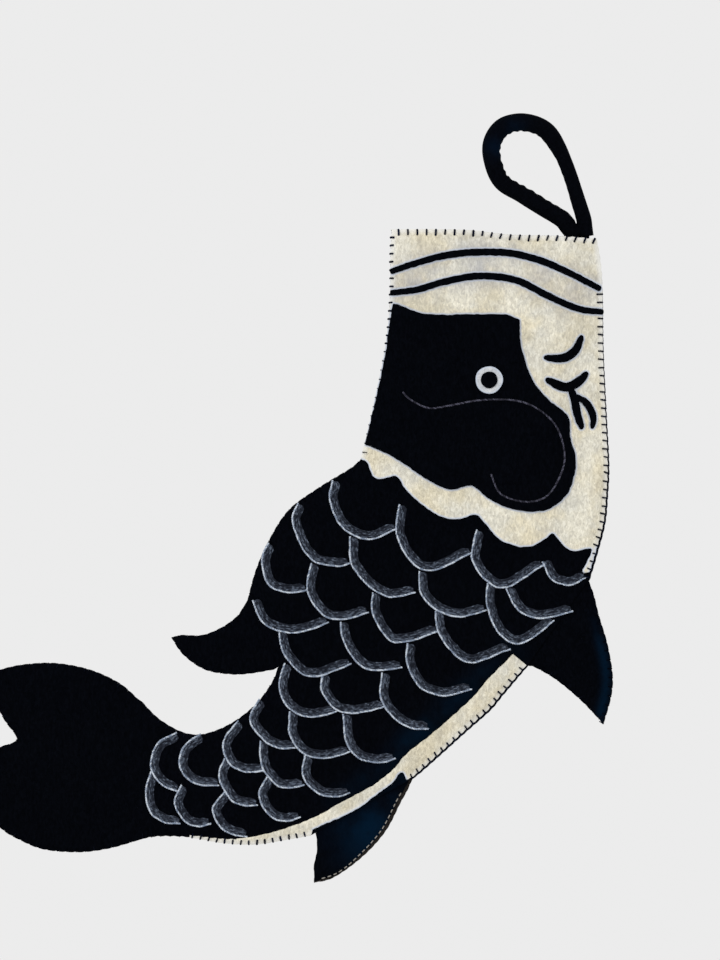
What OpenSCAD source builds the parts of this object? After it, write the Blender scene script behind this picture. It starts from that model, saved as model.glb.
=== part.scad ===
// Hanging carp streamer of stitched felt: an open pocket body in two hinged halves, a fan tail,
// three flapping fins and a padded hanging loop. +Z is up, +X is towards the carp's throat,
// and the decorated front faces -Y. The origin is the inner top of the hanging loop.

/* [Felt] */
// Thickness of one body, fin or tail layer
felt_t = 2.5; // [1.5:0.5:3]
// Thickness of the cream face and belly felt
applique_t = 2; // [1:0.5:2]
// Thickness of the small felt marks, the eye pieces and the lip stripes
mark_t = 1.5; // [1:0.5:2]
// Inner depth of the relaxed pocket
pocket_gap = 10; // [6:1:10]
// Width of the turned-in edge that closes the pocket along its seams
rim_w = 2.5; // [2:0.5:3]

/* [Motion] */
// How much less than a felt layer the radius of a rounded fin root is
root_relief = 0.2; // [0.1:0.05:0.4]
// Width of the flexing line between the two body halves
bend_gap = 5; // [5:0.5:8]
// Clearance between a rounded fin root and the seam that it flaps against
root_clear = 0.4; // [0.3:0.1:0.8]

/* [Face] */
// Diameter of the white eye
eye_d = 20.5; // [16:0.5:22]
// Diameter of the pupil
pupil_d = 12.5; // [8:0.5:14]
// Width of the two lip stripes
lip_w = 5; // [3:0.5:6]
// Width of the stitched gill line
gill_line_w = 1.8; // [1:0.2:3]

/* [Scales] */
// Width of the pale yarn along the outside of a scale
yarn_w = 1.6; // [1:0.2:2]
// Greatest width of the streaked band inside the yarn
band_w = 4.6; // [3:0.2:5]
// Height of the pale yarn
yarn_t = 1.4; // [1:0.2:1.8]
// Height of the streaked band
band_t = 1.1; // [0.6:0.1:1.4]

/* [Stitches] */
// Distance between blanket stitches along the mouth
mouth_pitch = 7.1; // [5:0.1:9]
// Distance between blanket stitches along the other seams
seam_pitch = 6.2; // [4:0.1:9]
// Width of one stitch
stitch_w = 1.2; // [0.8:0.2:1.6]
// Height of one stitch above the felt
stitch_t = 0.8; // [0.4:0.1:1]

/* [Loop] */
// Diameter of the padded loop tube
loop_d = 12.8; // [10:0.2:13]
// Diameter of the tube where its two ends are pinched into the tab
loop_pinch_d = 10.8; // [9:0.2:11]
// Height of the fold line of the loop, above the seam of the tab
fold_z = -72; // [-72:1:-70]
// Length of the tab inside the pocket
tab_l = 28; // [20:1:30]

/* [Hidden] */

// Depths of the stacked layers, measured from the middle of the pocket towards the front
pocket_y = pocket_gap / 2;
panel_y = pocket_y + felt_t;
applique_y = panel_y + applique_t;
cover_y = applique_y + applique_t;
eye_y = cover_y + mark_t;
pupil_y = eye_y + mark_t;
reach = 900;

// Ends of the line across the body that its two halves flex about
bend_a = [-182, -403];
bend_b = [-76, -483];
// Line that the tail flaps about
tail_x = -288;
body_end_x = tail_x + felt_t + root_clear;

// Seams of the body as [x, z], clockwise from the left end of the mouth
mouth_edge = [[-98, -74], [-62, -74], [-35, -75], [-9, -78], [28, -79], [56, -81]];
throat_edge = [[56, -81], [60, -108], [61, -164], [63, -209], [65, -250], [64, -273], [62, -294],
    [56, -317], [50, -337]];
belly_fore_edge = [[4, -401], [-14, -422], [-24, -434], [-42, -450], [-62, -468], [-79, -483]];
belly_rear_edge = [[-158, -528], [-178, -532], [-200, -536], [-224, -535], [-250, -530], [-272, -529],
    [body_end_x, -531]];
loin_edge = [[body_end_x, -428], [-272, -441], [-254, -451], [-238, -452], [-218, -444], [-200, -430],
    [-188, -414], [-183, -402]];
back_edge = [[-206, -352], [-200, -330], [-190, -307], [-175, -284], [-152, -267], [-129, -253],
    [-121, -246]];
nape_edge = [[-121, -246], [-111, -203], [-102, -157], [-99, -119], [-99, -97], [-98, -74]];

// Seam stretches that the fins are sewn into, as their two ends
dorsal_seam = [[-187, -393], [-205, -354]];
pectoral_seam = [[48, -340], [6, -398]];
pelvic_seam = [[-88, -488], [-155, -526]];

// Free edges of the fins and the tail
dorsal_top = [[-212, -357], [-217, -366], [-225, -372], [-240, -378], [-256, -378], [-263, -380]];
dorsal_bottom = [[-263, -380], [-254, -393], [-238, -404], [-219, -407], [-204, -405], [-193, -399]];
pectoral_outer = [[54, -348], [58, -364], [64, -384], [68, -407], [67, -424], [61, -445]];
pectoral_inner = [[61, -445], [45, -428], [26, -412], [11, -403]];
pelvic_outer = [[-86, -495], [-91, -504], [-102, -525], [-119, -544], [-141, -560], [-156, -564]];
pelvic_inner = [[-156, -564], [-156, -551], [-154, -541], [-154, -531]];
pelvic_trim = [[-89, -495], [-94, -504], [-105, -525], [-122, -544], [-138, -557]];
tail_upper = [[-288, -426], [-302, -414], [-324, -404], [-350, -399], [-374, -400], [-392, -404],
    [-408, -410]];
tail_notch = [[-408, -410], [-398, -424], [-388, -442], [-379, -456], [-392, -462], [-411, -470],
    [-428, -480]];
tail_lower = [[-428, -480], [-414, -498], [-392, -522], [-376, -532], [-358, -539], [-332, -541],
    [-309, -538], [-288, -532]];

// Scalloped lower edge of the cream face, and the inner edge of the belly strip
face_scallops = [[49, -316], [40, -315], [32, -312], [23, -302], [17, -306], [3, -312], [-16, -307],
    [-28, -294], [-35, -288], [-49, -291], [-61, -289], [-74, -281], [-87, -269], [-94, -259],
    [-106, -261], [-112, -259], [-116, -249], [-121, -246]];
strip_inner = [[-204, -530], [-181, -524], [-159, -515], [-128, -497], [-104, -481], [-86, -466],
    [-62, -447], [-38, -425], [-24, -409], [-7, -392]];

// Gill cover and the marks on the face
gill_top = [[-94.5, -131], [-85, -133], [-73, -138], [-44, -138], [-14, -138], [-2, -142]];
gill_front = [[-2, -142], [-1, -162], [7, -186], [20, -202], [34, -214], [36, -230], [40, -248],
    [36, -267], [28, -278], [14, -285], [-6, -284], [-25, -276], [-38, -266], [-54, -269], [-72, -261],
    [-91, -248], [-106, -240], [-118, -235]];
gill_rear = [[-118, -235], [-108.5, -200], [-98, -160], [-94.5, -131]];
upper_lip = [[-98, -105], [-76, -97.5], [-54, -92], [-28, -90], [-4, -92], [22, -100], [58, -118.5]];
lower_lip = [[-98, -121], [-79.5, -118.5], [-56, -112], [-31, -108], [-4.5, -111.5], [19, -123],
    [41, -133], [60, -136]];
nostril = [[19, -170], [27, -171], [34.5, -169], [40, -164], [44, -155]];
barbel_bar = [[20, -187.5], [25.5, -191], [31.5, -193], [37.5, -191], [43.5, -187], [49, -182]];
barbel_long = [[36, -193], [39, -203], [41, -212], [44, -222]];
barbel_short = [[40, -200], [48, -208], [52, -213], [54, -222]];
gill_curl = [[-89.5, -196], [-84, -201.5], [-70, -208], [-54, -206], [-31, -202], [-4.5, -202.5],
    [13.5, -210], [26.5, -224], [31.5, -245], [26.5, -262], [17, -274.5], [1.5, -278], [-16.5, -272],
    [-23.5, -257.5]];
eye_at = [-25, -187];

// Scales in rows from the head to the tail; each runs from its upper end round to its throat end
scale_rows = [
    [[[-142, -262], [-144, -277], [-135, -297], [-115, -306], [-94, -298]],
     [[-92, -280], [-94, -302], [-82, -324], [-65, -329], [-38, -316]],
     [[-34, -299], [-38, -319], [-28, -336], [-12, -342], [16, -325]],
     [[15, -323], [21, -335], [28, -339], [38, -340], [48, -334]]],
    [[[-168, -279], [-172, -294], [-159, -320], [-140, -326], [-129, -324]],
     [[-129, -304], [-128, -324], [-116, -340], [-100, -349], [-80, -346]],
     [[-77, -330], [-76, -346], [-64, -359], [-46, -364], [-27, -359]],
     [[-12, -343], [-4, -358], [10, -365], [22, -364], [38, -360]]],
    [[[-190, -309], [-195, -322], [-190, -340], [-175, -346], [-161, -344]],
     [[-158, -324], [-161, -344], [-150, -362], [-135, -366], [-115, -361]],
     [[-112, -346], [-112, -361], [-101, -380], [-88, -383], [-63, -375]],
     [[-65, -360], [-63, -375], [-50, -393], [-36, -398], [-9, -388]],
     [[-26, -339], [-26, -358], [-16, -378], [0, -384], [24, -367]]],
    [[[-202, -352], [-194, -369], [-175, -376], [-160, -374], [-145, -368]],
     [[-182, -376], [-179, -391], [-166, -406], [-151, -408], [-128, -399]],
     [[-136, -368], [-134, -382], [-122, -400], [-109, -404], [-90, -402]],
     [[-86, -384], [-86, -400], [-76, -417], [-58, -423], [-38, -418]]],
    [[[-150, -407], [-150, -419], [-140, -433], [-123, -436], [-103, -431]],
     [[-105, -406], [-106, -424], [-98, -438], [-84, -447], [-70, -448]]],
    [[[-178, -399], [-182, -417], [-174, -433], [-158, -439], [-139, -435]],
     [[-134, -437], [-132, -457], [-122, -470], [-105, -473], [-95, -470]]],
    [[[-197, -426], [-204, -441], [-195, -455], [-183, -462], [-170, -462]],
     [[-174, -435], [-174, -452], [-164, -466], [-148, -470], [-129, -465]],
     [[-163, -468], [-164, -484], [-153, -496], [-140, -499], [-129, -496]]],
    [[[-213, -442], [-224, -458], [-219, -474], [-207, -480], [-193, -479]],
     [[-196, -457], [-195, -475], [-185, -489], [-176, -492], [-163, -490]],
     [[-191, -484], [-197, -497], [-190, -512], [-178, -517], [-166, -514]]],
    [[[-241, -452], [-254, -462], [-256, -478], [-244, -489], [-227, -490]],
     [[-223, -470], [-227, -484], [-219, -500], [-208, -505], [-198, -505]],
     [[-223, -495], [-232, -508], [-226, -521], [-218, -527], [-206, -529]]],
    [[[-259, -451], [-274, -460], [-278, -478], [-269, -490], [-258, -495]],
     [[-255, -490], [-260, -503], [-253, -517], [-243, -521], [-233, -519]],
     [[-278, -480], [-282, -496], [-278, -511], [-267, -518], [-256, -519]]]
];
// The first rows of scales are on the fore half of the body
fore_rows = 5;
// Length that is left free at each end of a scale, where its neighbours start
scale_trim = 2.6;

// Loop, from its left pinched end round its top to its right pinched end
loop_route = [[35, fold_z], [30, -66], [17, -58], [1, -48], [-15, -38], [-22, -22], [-22, -8],
    [-14, 3], [1, 6.4], [17, 1], [28, -14], [36, -33], [42, -52], [46, -65], [47, fold_z]];
loop_sides = 12;
// Fold line of the loop and width of the tab
fold_x = 41;
fold_w = 24;
tab_w = 19;

// Catmull-Rom curve through points, with n pieces between each two, without its last point
function mix4(a, b, c, d, t) = 0.5 * (2 * b + (c - a) * t + (2 * a - 5 * b + 4 * c - d) * t * t
    + (3 * b - a - 3 * c + d) * t * t * t);
function run(p, n = 4) = [for (i = [0:len(p) - 2]) for (k = [0:n - 1])
    mix4(p[max(i - 1, 0)], p[i], p[i + 1], p[min(i + 2, len(p) - 1)], k / n)];
function curve(p, n = 4) = concat(run(p, n), [p[len(p) - 1]]);
function flip(p) = [for (i = [len(p) - 1:-1:0]) p[i]];

// Direction and left-hand normal of a path at point i
function heading(p, i) = let(d = p[min(i + 1, len(p) - 1)] - p[max(i - 1, 0)]) d / norm(d);
function left_of(p, i) = let(h = heading(p, i)) [-h.y, h.x];

// Path moved sideways to its left, by a distance that tapers to the ends as a share of full
function shifted(p, base, swell) = [for (i = [0:len(p) - 1])
    p[i] + left_of(p, i) * (base + swell * pow(sin(180 * i / (len(p) - 1)), 0.5))];

// Distances along a path, and the point that lies at a distance
function distances(p) = [for (s = 0, i = 0; i < len(p);
    s = s + (i < len(p) - 1 ? norm(p[i + 1] - p[i]) : 0), i = i + 1) s];
function at(p, s, d) = [lookup(d, [for (i = [0:len(p) - 1]) [s[i], p[i].x]]),
    lookup(d, [for (i = [0:len(p) - 1]) [s[i], p[i].y]])];
function trimmed(p, cut, n = 20) = let(s = distances(p), whole = s[len(s) - 1])
    [for (k = [0:n]) at(p, s, cut + (whole - 2 * cut) * k / n)];

// Signed distance from the bend line, positive on the fore half
function fore_of(p) = let(u = (bend_b - bend_a) / norm(bend_b - bend_a)) cross(u, p - bend_a);

// A seam line moved outwards, clockwise seams having the outside on their left
function hinge(seam) = let(u = (seam[1] - seam[0]) / norm(seam[1] - seam[0]))
    [for (p = seam) p + [-u.y, u.x] * (felt_t + root_clear)];

// Outline in X and Z, extruded from a front depth to a back depth
module layer(front, back)
    translate([0, -back, 0])
        rotate([90, 0, 0])
            linear_extrude(height = front - back)
                children();

// Everything on the fore half (side = 1) or the rear half (side = -1) of the bend line
module half(side)
    translate(bend_a)
        rotate(atan2(bend_b.y - bend_a.y, bend_b.x - bend_a.x))
            translate([-reach / 2, side > 0 ? bend_gap / 2 : -bend_gap / 2 - reach])
                square(reach);

module body_outline()
    polygon(concat(run(mouth_edge), run(throat_edge), [throat_edge[8]], run(belly_fore_edge),
        [belly_fore_edge[5]], run(belly_rear_edge), [belly_rear_edge[6]], run(loin_edge),
        [loin_edge[7]], run(back_edge), run(nape_edge)));

// The same outline drawn in by the width of the turned-in edge, and open at the mouth
module pocket_outline()
    polygon(concat([[mouth_edge[0].x + rim_w, 0], [mouth_edge[5].x - rim_w, 0]],
        inset(concat(curve(throat_edge), curve(belly_fore_edge))),
        inset(concat(curve(belly_rear_edge))),
        inset(concat(curve(loin_edge))),
        inset(concat(run(back_edge), curve(nape_edge)))));
function inset(p) = shifted(p, -rim_w, 0);

module panel(side, front)
    union() {
        layer(front ? panel_y : -pocket_y, front ? pocket_y : -panel_y)
            intersection() {
                body_outline();
                half(side);
            }
        layer(front ? pocket_y : 0, front ? 0 : -pocket_y)
            difference() {
                intersection() {
                    body_outline();
                    half(side);
                }
                pocket_outline();
            }
    }

module front_panel_fore() { color([0.02, 0.03, 0.06]) panel(1, true); }
module front_panel_rear() { color([0.02, 0.03, 0.06]) panel(-1, true); }
module back_panel_fore() { color([0.03, 0.04, 0.07]) panel(1, false); }
module back_panel_rear() { color([0.03, 0.04, 0.07]) panel(-1, false); }

// One felt layer that flaps about a line, with half of the rounded root
module flap(root, front)
    union() {
        layer(front ? felt_t : 0, front ? 0 : -felt_t)
            children();
        intersection() {
            translate([root[0].x, 0, root[0].y])
                rotate([0, 90 - atan2(root[1].y - root[0].y, root[1].x - root[0].x), 0])
                    cylinder(r = felt_t - root_relief, h = norm(root[1] - root[0]), $fn = 48);
            layer(front ? felt_t : 0, front ? 0 : -felt_t)
                translate([-reach, -reach])
                    square(2 * reach);
        }
    }

module dorsal_fin(front)
    flap(hinge(dorsal_seam), front)
        polygon(concat([hinge(dorsal_seam)[1]], run(dorsal_top), curve(dorsal_bottom),
            [hinge(dorsal_seam)[0]]));
module dorsal_fin_front() { color([0.02, 0.03, 0.06]) dorsal_fin(true); }
module dorsal_fin_back() { color([0.03, 0.04, 0.07]) dorsal_fin(false); }

module pectoral_fin(front)
    flap(hinge(pectoral_seam), front)
        polygon(concat([hinge(pectoral_seam)[0]], run(pectoral_outer), curve(pectoral_inner),
            [hinge(pectoral_seam)[1]]));
module pectoral_fin_front() { color([0.02, 0.04, 0.09]) pectoral_fin(true); }
module pectoral_fin_back() { color([0.03, 0.04, 0.07]) pectoral_fin(false); }

module pelvic_fin(front)
    flap(hinge(pelvic_seam), front)
        polygon(concat([hinge(pelvic_seam)[0]], front ? run(pelvic_trim) : run(pelvic_outer),
            curve(pelvic_inner), [hinge(pelvic_seam)[1]]));
module pelvic_fin_front() { color([0.02, 0.05, 0.11]) pelvic_fin(true); }
module pelvic_fin_back() { color([0.12, 0.1, 0.09]) pelvic_fin(false); }

module tail(front)
    flap([[tail_x, -427], [tail_x, -531]], front)
        polygon(concat(run(tail_upper), run(tail_notch), curve(tail_lower)));
module tail_front() { color([0.02, 0.03, 0.06]) tail(true); }
module tail_back() { color([0.03, 0.04, 0.07]) tail(false); }

module face_panel() {
    color([0.88, 0.84, 0.74])
        layer(applique_y, panel_y)
            polygon(concat(run(mouth_edge), run(throat_edge), [throat_edge[8]], run(face_scallops),
                run(nape_edge)));
}

module gill_cover() {
    color([0.02, 0.03, 0.06])
        layer(cover_y, applique_y)
            polygon(concat(run(gill_top), run(gill_front), run(gill_rear)));
}

// A stripe of even width, or one that swells towards its middle
module stripe(path, width, swell = 0)
    polygon(concat(shifted(path, width / 2, swell / 2), flip(shifted(path, -width / 2, -swell / 2))));

module upper_lip_stripe() {
    color([0.02, 0.03, 0.06])
        layer(applique_y + mark_t, applique_y)
            stripe(curve(upper_lip), lip_w);
}

module lower_lip_stripe() {
    color([0.02, 0.03, 0.06])
        layer(applique_y + mark_t, applique_y)
            stripe(curve(lower_lip), lip_w);
}

// A felt disc of the eye
module eye_disc(d, front, back)
    translate([eye_at.x, -back, eye_at.y])
        rotate([90, 0, 0])
            cylinder(d = d, h = front - back, $fn = 72);

module eye_ring() { color([0.84, 0.85, 0.87]) eye_disc(eye_d, eye_y, cover_y); }
module eye_pupil() { color([0.02, 0.02, 0.03]) eye_disc(pupil_d, pupil_y, eye_y); }

module nostril_mark() {
    color([0.02, 0.03, 0.06])
        layer(applique_y + mark_t, applique_y)
            stripe(curve(nostril), 3.4, 3);
}

module barbel_mark() {
    color([0.02, 0.03, 0.06])
        layer(applique_y + mark_t, applique_y)
            union() {
                stripe(curve(barbel_bar), 4, 3);
                stripe(curve(barbel_long), 4, 2);
                stripe(curve(barbel_short), 3, 2.4);
            }
}

module gill_line() {
    color([0.27, 0.27, 0.33])
        layer(cover_y + band_t, cover_y)
            stripe(curve(gill_curl), gill_line_w);
}

module belly_strip(side) {
    color([0.88, 0.84, 0.74])
        layer(applique_y, panel_y)
            intersection() {
                polygon(concat(run(belly_fore_edge), [belly_fore_edge[5]],
                    run([belly_rear_edge[0], belly_rear_edge[1], [-204, -536]]),
                    curve(strip_inner)));
                half(side);
            }
}
module belly_strip_fore() { belly_strip(1); }
module belly_strip_rear() { belly_strip(-1); }

// The streaked bands or the pale yarns of one row of scales
module scale_bands(row)
    color([0.22, 0.23, 0.27])
        layer(panel_y + band_t, panel_y)
            intersection() {
                union()
                    for (scale = scale_rows[row - 1])
                        let(path = trimmed(curve(scale), scale_trim))
                            polygon(concat(shifted(path, yarn_w / 2 + band_w * 0.2, band_w * 0.8),
                                flip(shifted(path, yarn_w / 2, 0))));
                half(row > fore_rows ? -1 : 1);
            }

module scale_yarns(row)
    color([0.66, 0.71, 0.78])
        layer(panel_y + yarn_t, panel_y)
            intersection() {
                union()
                    for (scale = scale_rows[row - 1])
                        stripe(trimmed(curve(scale), scale_trim), yarn_w);
                half(row > fore_rows ? -1 : 1);
            }

// Blanket stitches standing on a seam, square to it and just inside it, left out over the stripes
module stitches(edge, pitch, leg, face, side = 0, stripes = []) {
    s = distances(edge);
    count = floor((s[len(s) - 1] - pitch) / pitch);
    color([0.1, 0.11, 0.16])
        for (k = [0:count]) {
            p = at(edge, s, (k + 0.75) * pitch);
            h = at(edge, s, (k + 0.75) * pitch + 1) - at(edge, s, (k + 0.75) * pitch - 1);
            covered = len([for (z = stripes) if (abs(p.y - z) < lip_w / 2 + stitch_w + 0.4) z]) > 0;
            if (!covered && side * fore_of(p) >= abs(side) * (bend_gap / 2 + 2))
                translate([p.x, -face, p.y])
                    rotate([0, -atan2(h.y, h.x), 0])
                        translate([-stitch_w / 2, -stitch_t, -leg - 0.4])
                            cube([stitch_w, stitch_t, leg]);
        }
}

module mouth_stitches() { stitches(curve(mouth_edge), mouth_pitch, 4.5, applique_y); }
module left_seam_stitches() {
    stitches(curve([[-102, -157], [-99, -119], [-99, -97], [-98, -79]]), seam_pitch, 2.6, applique_y,
        stripes = [upper_lip[0].y, lower_lip[0].y]);
}
module right_seam_stitches() {
    stitches(curve([for (i = [0:7]) throat_edge[i]]), seam_pitch, 3.8, applique_y,
        stripes = [upper_lip[6].y, lower_lip[7].y]);
}
module belly_stitches_fore() { stitches(curve(belly_fore_edge), seam_pitch, 3.4, applique_y, 1); }
module belly_stitches_rear() {
    stitches(curve([[-160, -529], [-178, -532], [-203, -536]]), seam_pitch, 3.4, applique_y, -1);
}

// Felt tab between the panels that the two pinched ends of the loop are sewn to
module loop_tab() {
    color([0.03, 0.04, 0.07])
        translate([fold_x - tab_w / 2, -felt_t, fold_z - loop_pinch_d / 2 - root_clear - tab_l])
            cube([tab_w, 2 * felt_t, tab_l]);
}

// Two short stitches that tack the tab to the back panel
module loop_tack_stitches() {
    color([0.6, 0.62, 0.66])
        for (z = [0, 1])
            translate([fold_x - tab_w / 2 + 3, felt_t, fold_z - 20 - 7 * z])
                cube([tab_w - 6, pocket_y - felt_t, stitch_w]);
}

// Padded tube swept along its route, pinched at both ends
function ring(i, path) = let(h = heading(path, i), last = len(path) - 1,
    r = loop_pinch_d / 2 + (loop_d - loop_pinch_d) / 2 * min(1, 4 * i / last, 4 * (last - i) / last))
    [for (k = [0:loop_sides - 1]) let(a = 360 * k / loop_sides)
        [path[i].x - h.y * r * cos(a), r * sin(a), path[i].y + h.x * r * cos(a)]];

module hanging_loop() {
    path = curve(loop_route);
    last = len(path) - 1;
    color([0.03, 0.04, 0.07])
        union() {
            polyhedron(
                points = [for (i = [0:last]) each ring(i, path)],
                faces = concat(
                    [[for (k = [loop_sides - 1:-1:0]) k]],
                    [for (i = [0:last - 1]) for (k = [0:loop_sides - 1])
                        let(a = i * loop_sides + k, b = i * loop_sides + (k + 1) % loop_sides)
                        [a, b, b + loop_sides, a + loop_sides]],
                    [[for (k = [0:loop_sides - 1]) last * loop_sides + k]]));
            translate([fold_x - fold_w / 2, 0, fold_z])
                rotate([0, 90, 0])
                    cylinder(d = loop_pinch_d, h = fold_w, $fn = 48);
        }
}

front_panel_fore();
front_panel_rear();
back_panel_fore();
back_panel_rear();
tail_front();
tail_back();
dorsal_fin_front();
dorsal_fin_back();
pectoral_fin_front();
pectoral_fin_back();
pelvic_fin_front();
pelvic_fin_back();
face_panel();
gill_cover();
upper_lip_stripe();
lower_lip_stripe();
eye_ring();
eye_pupil();
nostril_mark();
barbel_mark();
gill_line();
belly_strip_fore();
belly_strip_rear();
scale_bands(1);  // scale_band_1
scale_bands(2);  // scale_band_2
scale_bands(3);  // scale_band_3
scale_bands(4);  // scale_band_4
scale_bands(5);  // scale_band_5
scale_bands(6);  // scale_band_6
scale_bands(7);  // scale_band_7
scale_bands(8);  // scale_band_8
scale_bands(9);  // scale_band_9
scale_bands(10);  // scale_band_10
scale_yarns(1);  // scale_yarn_1
scale_yarns(2);  // scale_yarn_2
scale_yarns(3);  // scale_yarn_3
scale_yarns(4);  // scale_yarn_4
scale_yarns(5);  // scale_yarn_5
scale_yarns(6);  // scale_yarn_6
scale_yarns(7);  // scale_yarn_7
scale_yarns(8);  // scale_yarn_8
scale_yarns(9);  // scale_yarn_9
scale_yarns(10);  // scale_yarn_10
mouth_stitches();
left_seam_stitches();
right_seam_stitches();
belly_stitches_fore();
belly_stitches_rear();
loop_tack_stitches();
loop_tab();
hanging_loop();
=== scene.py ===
"""Looks of a felt carp streamer: cut felt layers, yarn scales, blanket stitches and a padded loop.

Flat points are [x, z] in millimetres and become metres where a mesh is made. A height is measured
from the middle plane of the pocket, towards the front or towards the back.
"""

import math

import bmesh
import bpy
import numpy as np
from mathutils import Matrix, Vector
from mathutils.geometry import delaunay_2d_cdt


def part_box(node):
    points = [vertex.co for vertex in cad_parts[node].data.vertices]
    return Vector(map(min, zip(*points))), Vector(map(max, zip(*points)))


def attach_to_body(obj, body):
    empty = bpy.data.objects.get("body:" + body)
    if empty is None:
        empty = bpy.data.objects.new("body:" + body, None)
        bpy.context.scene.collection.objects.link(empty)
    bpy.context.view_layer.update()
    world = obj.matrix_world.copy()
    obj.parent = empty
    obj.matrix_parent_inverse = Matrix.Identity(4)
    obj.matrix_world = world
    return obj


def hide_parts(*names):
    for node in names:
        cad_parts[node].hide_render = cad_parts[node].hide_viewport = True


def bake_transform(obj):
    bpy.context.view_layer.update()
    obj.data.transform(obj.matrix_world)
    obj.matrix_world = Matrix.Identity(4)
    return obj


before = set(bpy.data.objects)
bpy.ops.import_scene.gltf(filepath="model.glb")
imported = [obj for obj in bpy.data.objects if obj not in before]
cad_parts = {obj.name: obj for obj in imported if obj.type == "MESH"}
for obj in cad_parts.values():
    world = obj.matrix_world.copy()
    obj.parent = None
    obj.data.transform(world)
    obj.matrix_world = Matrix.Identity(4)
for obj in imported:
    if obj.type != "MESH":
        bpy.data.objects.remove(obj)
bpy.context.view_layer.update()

MM = 0.001
SIDES = {"front": -1, "back": 1}


def depth(node):
    """Extent of a CAD node from front to back, in millimetres."""
    low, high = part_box(node)
    return (high.y - low.y) / MM


# Thickness of the felts, and the room in the relaxed pocket
FELT = depth("tail_front")
APPLIQUE = depth("face_panel")
MARK = depth("eye_ring")
PANEL = -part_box("front_panel_fore")[0].y / MM
HEADROOM = 0.4
POCKET = PANEL - FELT - HEADROOM
PUFF_WIDTH = 32
SUNK = 0.25
PRESSED = 0.25

# Stitches and yarn: the first stitch of an edge and the bare top of the throat are in pitches
STITCH_PITCH = 7.1
SEAM_PITCH = 6.2
FIRST_STITCH = 0.75
BARE_STITCHES = 6
THREAD = 0.66
YARN = 0.72
YARN_LAY = 3.4
BAND_ROWS = 6
BAND_START = 1.1
BAND_PITCH = 0.9
BRUSHED = 0.52
DASH = 2.9
DASH_PITCH = 4.6

# Hanging loop: sides of its tube, spacing of its puckers, length of its flattened ends
LOOP_SIDES = 28
PUCKER_PITCH = 7.2
LOOP_FLAT = 24

# Spacing of points along plain and sewn edges, and rows of points inside rims and round outlines
STEP = 1.5
EDGE_STEP = 1.2
RIM_ROWS = (0.25, 0.7, 1.4)
HALO_ROWS = (0.3, 1.1, 2.0, 3.0)

# How deep fins are sewn in and how far from the ends of their seams
ROOT_DEPTH = 4.5
ROOT_CORNER = 5

# Heights where the throat's cream turns paler and ends, where cream stitches end on the nape and
# hidden ones start, and places where the belly's cream ends
THROAT_PALE = -312
THROAT_END = -331.5
NAPE_SEWN = -164.3
NAPE_HIDDEN = -162
STRIP_END = -214
TIP_END = -250

# Camera and floor, in metres, and the lens in millimetres
VIEW_CENTRE = (-0.1215, -0.26175)
VIEW_DISTANCE = 3.0
LENS = 150
FLOOR_CENTRE = (-0.15, 0, -0.7)
FLOOR_RADIUS = 0.34

# Outlines and routes, close to those of part.scad. The edges of the body run clockwise.
mouth_edge = [[-98, -74], [-62, -74], [-35, -75], [-9, -78], [28, -79], [56, -81]]
throat_edge = [[56, -81], [60, -108], [61, -164], [63, -209], [65, -250], [64, -273], [62, -294],
               [56, -317], [50, -337]]
belly_fore_edge = [[4, -401], [-14, -422], [-24, -434], [-42, -450], [-62, -468], [-79, -483],
                   [-86, -487.5]]
belly_rear_edge = [[-158, -528], [-178, -531.7], [-200, -535], [-224, -534], [-250, -529.7],
                   [-272, -529], [-285, -531]]
loin_edge = [[-285, -428], [-272, -441], [-254, -451], [-238, -452], [-218, -444], [-200, -430],
             [-188, -414], [-183, -402]]
back_edge = [[-206, -352], [-200, -330], [-190, -307], [-175, -284], [-152, -267], [-129, -253],
             [-121, -246]]
nape_edge = [[-121, -246], [-111, -203], [-102, -157], [-99, -119], [-99, -97], [-98, -74]]
pectoral_seam = np.array([[50.0, -337.0], [4.0, -401.0]])
pelvic_seam = np.array([[-86.0, -487.5], [-158.0, -528.0]])

dorsal_top = [[-209.5, -357.5], [-214, -364], [-225, -372], [-240, -378], [-256, -378], [-263, -380]]
dorsal_bottom = [[-263, -380], [-254, -393], [-238, -404], [-219, -407.5], [-204, -407], [-186, -404]]
pectoral_outer = [[54, -348], [58, -364], [64, -384], [68, -407], [67, -424], [61, -445]]
pectoral_inner = [[61, -445], [45, -428], [26, -412], [11, -403]]
pelvic_outer = [[-86, -495], [-91, -504], [-102, -525], [-119, -544], [-141, -560], [-156, -564]]
pelvic_inner = [[-156, -564], [-156, -551], [-154, -541], [-154, -531]]
pelvic_trim = [[-89, -495], [-94, -504], [-105, -525], [-122, -544], [-138, -557], [-156, -563]]
tail_upper = [[-288, -426], [-302, -414], [-324, -404], [-350, -399], [-374, -400], [-392, -404],
              [-408, -410]]
tail_notch = [[-408, -410], [-398, -424], [-388, -442], [-379, -456], [-392, -462], [-411, -470],
              [-428, -480]]
tail_lower = [[-428, -480], [-414, -498], [-392, -522], [-376, -532], [-358, -539], [-332, -541],
              [-309, -538], [-288, -532]]

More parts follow.
